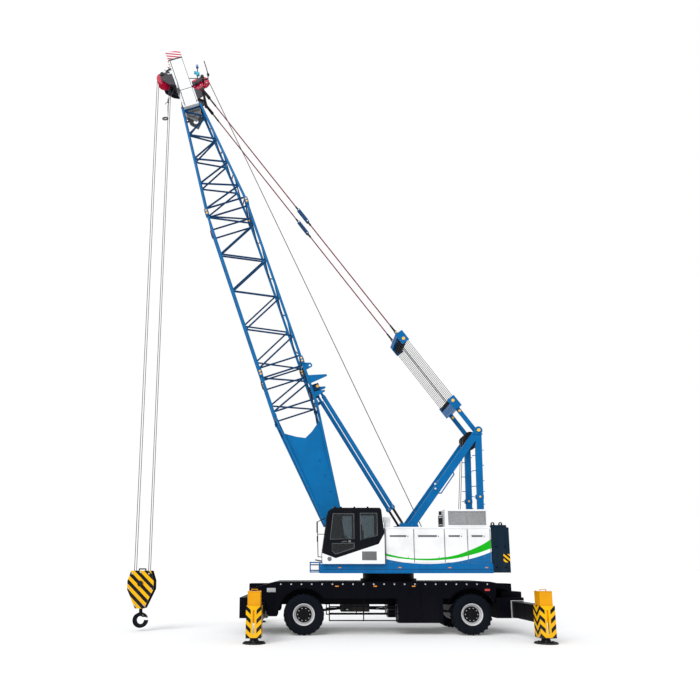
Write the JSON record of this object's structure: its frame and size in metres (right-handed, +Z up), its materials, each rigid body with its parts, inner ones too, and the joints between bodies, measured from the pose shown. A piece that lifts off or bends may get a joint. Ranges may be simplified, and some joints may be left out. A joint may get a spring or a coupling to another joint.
{
  "type": "mobile lattice boom crane",
  "caption": "Two-axle mobile crane with a pinned lattice boom, luffing gantry, hook block, side cab and H-type outriggers.",
  "frame": {"origin": "on the ground at the middle of the crane as it stands with its outriggers out and its boom up", "axes": "+Z up, +X towards the counterweight, -X the way the boom leans, -Y the cab side"},
  "size_m": [13.9288, 7.6, 23.7565],
  "materials": {
    "black_paint": "satin",
    "dark_steel": "satin",
    "tyre": "matte",
    "rim_paint": "satin",
    "yellow_paint": "gloss",
    "blue_paint": "gloss",
    "white_paint": "gloss",
    "navy_paint": "satin",
    "cab_paint": "gloss",
    "window": "clear",
    "seat_fabric": "matte",
    "rope": "satin",
    "pendant_wire": "satin",
    "sheave_red": "gloss"
  },
  "bodies": {
    "carrier": {"carrier_frame": "black_paint", "side_guards": "dark_steel", "driveline": "black_paint", "front_axle": "dark_steel", "rear_axle": "dark_steel", "slew_ring": "black_paint"},
    "hub_near": {"knuckle_near": "dark_steel"},
    "hub_far": {"knuckle_far": "dark_steel"},
    "wheel_fn": {"tyre_fn": "tyre", "rim_fn": "rim_paint"},
    "wheel_ff": {"tyre_ff": "tyre", "rim_ff": "rim_paint"},
    "wheel_rn": {"tyre_rn": "tyre", "rim_rn": "rim_paint"},
    "wheel_rf": {"tyre_rf": "tyre", "rim_rf": "rim_paint"},
    "outrigger_fn": {"beam_fn": "black_paint"},
    "outrigger_ff": {"beam_ff": "black_paint"},
    "outrigger_rn": {"beam_rn": "black_paint"},
    "outrigger_rf": {"beam_rf": "black_paint"},
    "foot_fn": {"jack_fn": "yellow_paint"},
    "foot_ff": {"jack_ff": "yellow_paint"},
    "foot_rn": {"jack_rn": "yellow_paint"},
    "foot_rf": {"jack_rf": "yellow_paint"},
    "upper": {"turntable": "blue_paint", "house": "white_paint", "intake": "white_paint", "exhaust": "black_paint", "counterweight": "navy_paint", "winches": "dark_steel", "cab_shell": "cab_paint", "cab_skirt": "white_paint", "cab_glass": "window", "cab_seat": "seat_fabric", "gantry": "blue_paint"},
    "door_cab": {"cab_door": "cab_paint", "door_glass": "window"},
    "door_1": {"house_door_1": "white_paint"},
    "door_2": {"house_door_2": "white_paint"},
    "door_3": {"house_door_3": "white_paint"},
    "door_4": {"house_door_4": "white_paint"},
    "boom": {"boom_base": "blue_paint", "boom_insert": "blue_paint", "boom_top": "blue_paint", "boom_head": "white_paint", "head_sheaves": "sheave_red"},
    "backstop_tube": {"backstop_tubes": "blue_paint"},
    "backstop_rod": {"backstop_rods": "black_paint"},
    "luff_gear": {"luffing_block": "blue_paint", "luffing_falls": "rope"},
    "bail": {"upper_bail": "blue_paint", "pendants": "pendant_wire"},
    "falls": {"hoist_falls": "rope"},
    "block": {"hook_block": "yellow_paint"},
    "hook_body": {"hook": "dark_steel"}
  },
  "joints": [
    {"name": "beam_front_near", "type": "slide", "parent": "carrier", "child": "outrigger_fn", "axis": [0, -1, 0], "range_m": [-1.8, 0]},
    {"name": "beam_front_far", "type": "slide", "parent": "carrier", "child": "outrigger_ff", "axis": [0, 1, 0], "range_m": [-1.8, 0]},
    {"name": "beam_rear_near", "type": "slide", "parent": "carrier", "child": "outrigger_rn", "axis": [0, -1, 0], "range_m": [-1.8, 0]},
    {"name": "beam_rear_far", "type": "slide", "parent": "carrier", "child": "outrigger_rf", "axis": [0, 1, 0], "range_m": [-1.8, 0]},
    {"name": "jack_fn", "type": "slide", "parent": "outrigger_fn", "child": "foot_fn", "axis": [0, 0, 1], "range_m": [-0.15, 0.36]},
    {"name": "jack_ff", "type": "slide", "parent": "outrigger_ff", "child": "foot_ff", "axis": [0, 0, 1], "range_m": [-0.15, 0.36]},
    {"name": "jack_rn", "type": "slide", "parent": "outrigger_rn", "child": "foot_rn", "axis": [0, 0, 1], "range_m": [-0.15, 0.36]},
    {"name": "jack_rf", "type": "slide", "parent": "outrigger_rf", "child": "foot_rf", "axis": [0, 0, 1], "range_m": [-0.15, 0.36]},
    {"name": "steer_near", "type": "hinge", "parent": "carrier", "child": "hub_near", "pos_m": [-0.60564, -0.89, 0.685], "axis": [0, 0, 1], "range_deg": [-28, 28]},
    {"name": "steer_far", "type": "hinge", "parent": "carrier", "child": "hub_far", "pos_m": [-0.60564, 0.89, 0.685], "axis": [0, 0, 1], "range_deg": [-28, 28]},
    {"name": "wheel_front_near", "type": "hinge", "parent": "hub_near", "child": "wheel_fn", "pos_m": [-0.60564, -1.31, 0.685], "axis": [0, 1, 0], "continuous": true},
    {"name": "wheel_front_far", "type": "hinge", "parent": "hub_far", "child": "wheel_ff", "pos_m": [-0.60564, 1.31, 0.685], "axis": [0, 1, 0], "continuous": true},
    {"name": "wheel_rear_near", "type": "hinge", "parent": "carrier", "child": "wheel_rn", "pos_m": [5.03435, -1.31, 0.685], "axis": [0, 1, 0], "continuous": true},
    {"name": "wheel_rear_far", "type": "hinge", "parent": "carrier", "child": "wheel_rf", "pos_m": [5.03435, 1.31, 0.685], "axis": [0, 1, 0], "continuous": true},
    {"name": "slew", "type": "hinge", "parent": "carrier", "child": "upper", "pos_m": [2.46435, 0, 2.05], "axis": [0, 0, 1], "continuous": true},
    {"name": "cab_door_hinge", "type": "hinge", "parent": "upper", "child": "door_cab", "pos_m": [1.19836, -1.555, 3.265], "axis": [0, 0, 1], "range_deg": [0, 90]},
    {"name": "house_door_1_hinge", "type": "hinge", "parent": "upper", "child": "door_1", "pos_m": [2.21835, -1.405, 2.965], "axis": [0, 0, -1], "range_deg": [0, 90]},
    {"name": "house_door_2_hinge", "type": "hinge", "parent": "upper", "child": "door_2", "pos_m": [3.18836, -1.405, 2.965], "axis": [0, 0, -1], "range_deg": [0, 90]},
    {"name": "house_door_3_hinge", "type": "hinge", "parent": "upper", "child": "door_3", "pos_m": [4.23836, -1.405, 2.965], "axis": [0, 0, -1], "range_deg": [0, 90]},
    {"name": "house_door_4_hinge", "type": "hinge", "parent": "upper", "child": "door_4", "pos_m": [5.02836, -1.405, 2.965], "axis": [0, 0, -1], "range_deg": [0, 90]},
    {"name": "luff", "type": "hinge", "parent": "upper", "child": "boom", "pos_m": [0.75435, 0, 3.02], "axis": [0, 1, 0], "range_deg": [-42, 6.4]},
    {"name": "backstop_swing", "type": "hinge", "parent": "upper", "child": "backstop_rod", "pos_m": [3.01436, 0, 3.72], "axis": [0, 1, 0], "range_deg": [-34.5, 5.5]},
    {"name": "backstop_extend", "type": "slide", "parent": "backstop_rod", "child": "backstop_tube", "axis": [-0.5117, 0, 0.8592], "range_m": [-0.3, 1.65]},
    {"name": "block_swing", "type": "hinge", "parent": "upper", "child": "luff_gear", "pos_m": [5.77435, 0, 7.21], "axis": [0, 1, 0], "range_deg": [-40, 6.3]},
    {"name": "bail_travel", "type": "slide", "parent": "luff_gear", "child": "bail", "axis": [-0.5884, 0, 0.8085], "range_m": [-0.75, 4.7], "deforming": ["luffing_falls"]},
    {"name": "hook_swing", "type": "hinge", "parent": "boom", "child": "falls", "pos_m": [-6.49435, 0, 22.49773], "axis": [0, 1, 0], "range_deg": [-6.5, 42.5]},
    {"name": "hoist", "type": "slide", "parent": "falls", "child": "block", "axis": [0, 0, 1], "range_m": [0, 17], "deforming": ["hoist_falls"]},
    {"name": "hook_swivel", "type": "hinge", "parent": "block", "child": "hook_body", "pos_m": [-6.49435, 0, 0.8], "axis": [0, 0, 1], "continuous": true}
  ],
  "couplings": [
    {"joint": "steer_far", "follows": "steer_near", "ratio": 1},
    {"joint": "backstop_swing", "follows": "luff", "ratio": 0.8},
    {"joint": "backstop_extend", "follows": "luff", "m_per_rad": -2.2},
    {"joint": "block_swing", "follows": "luff", "ratio": 0.93},
    {"joint": "bail_travel", "follows": "luff", "m_per_rad": -6.3},
    {"joint": "hook_swing", "follows": "luff", "ratio": -1}
  ]
}
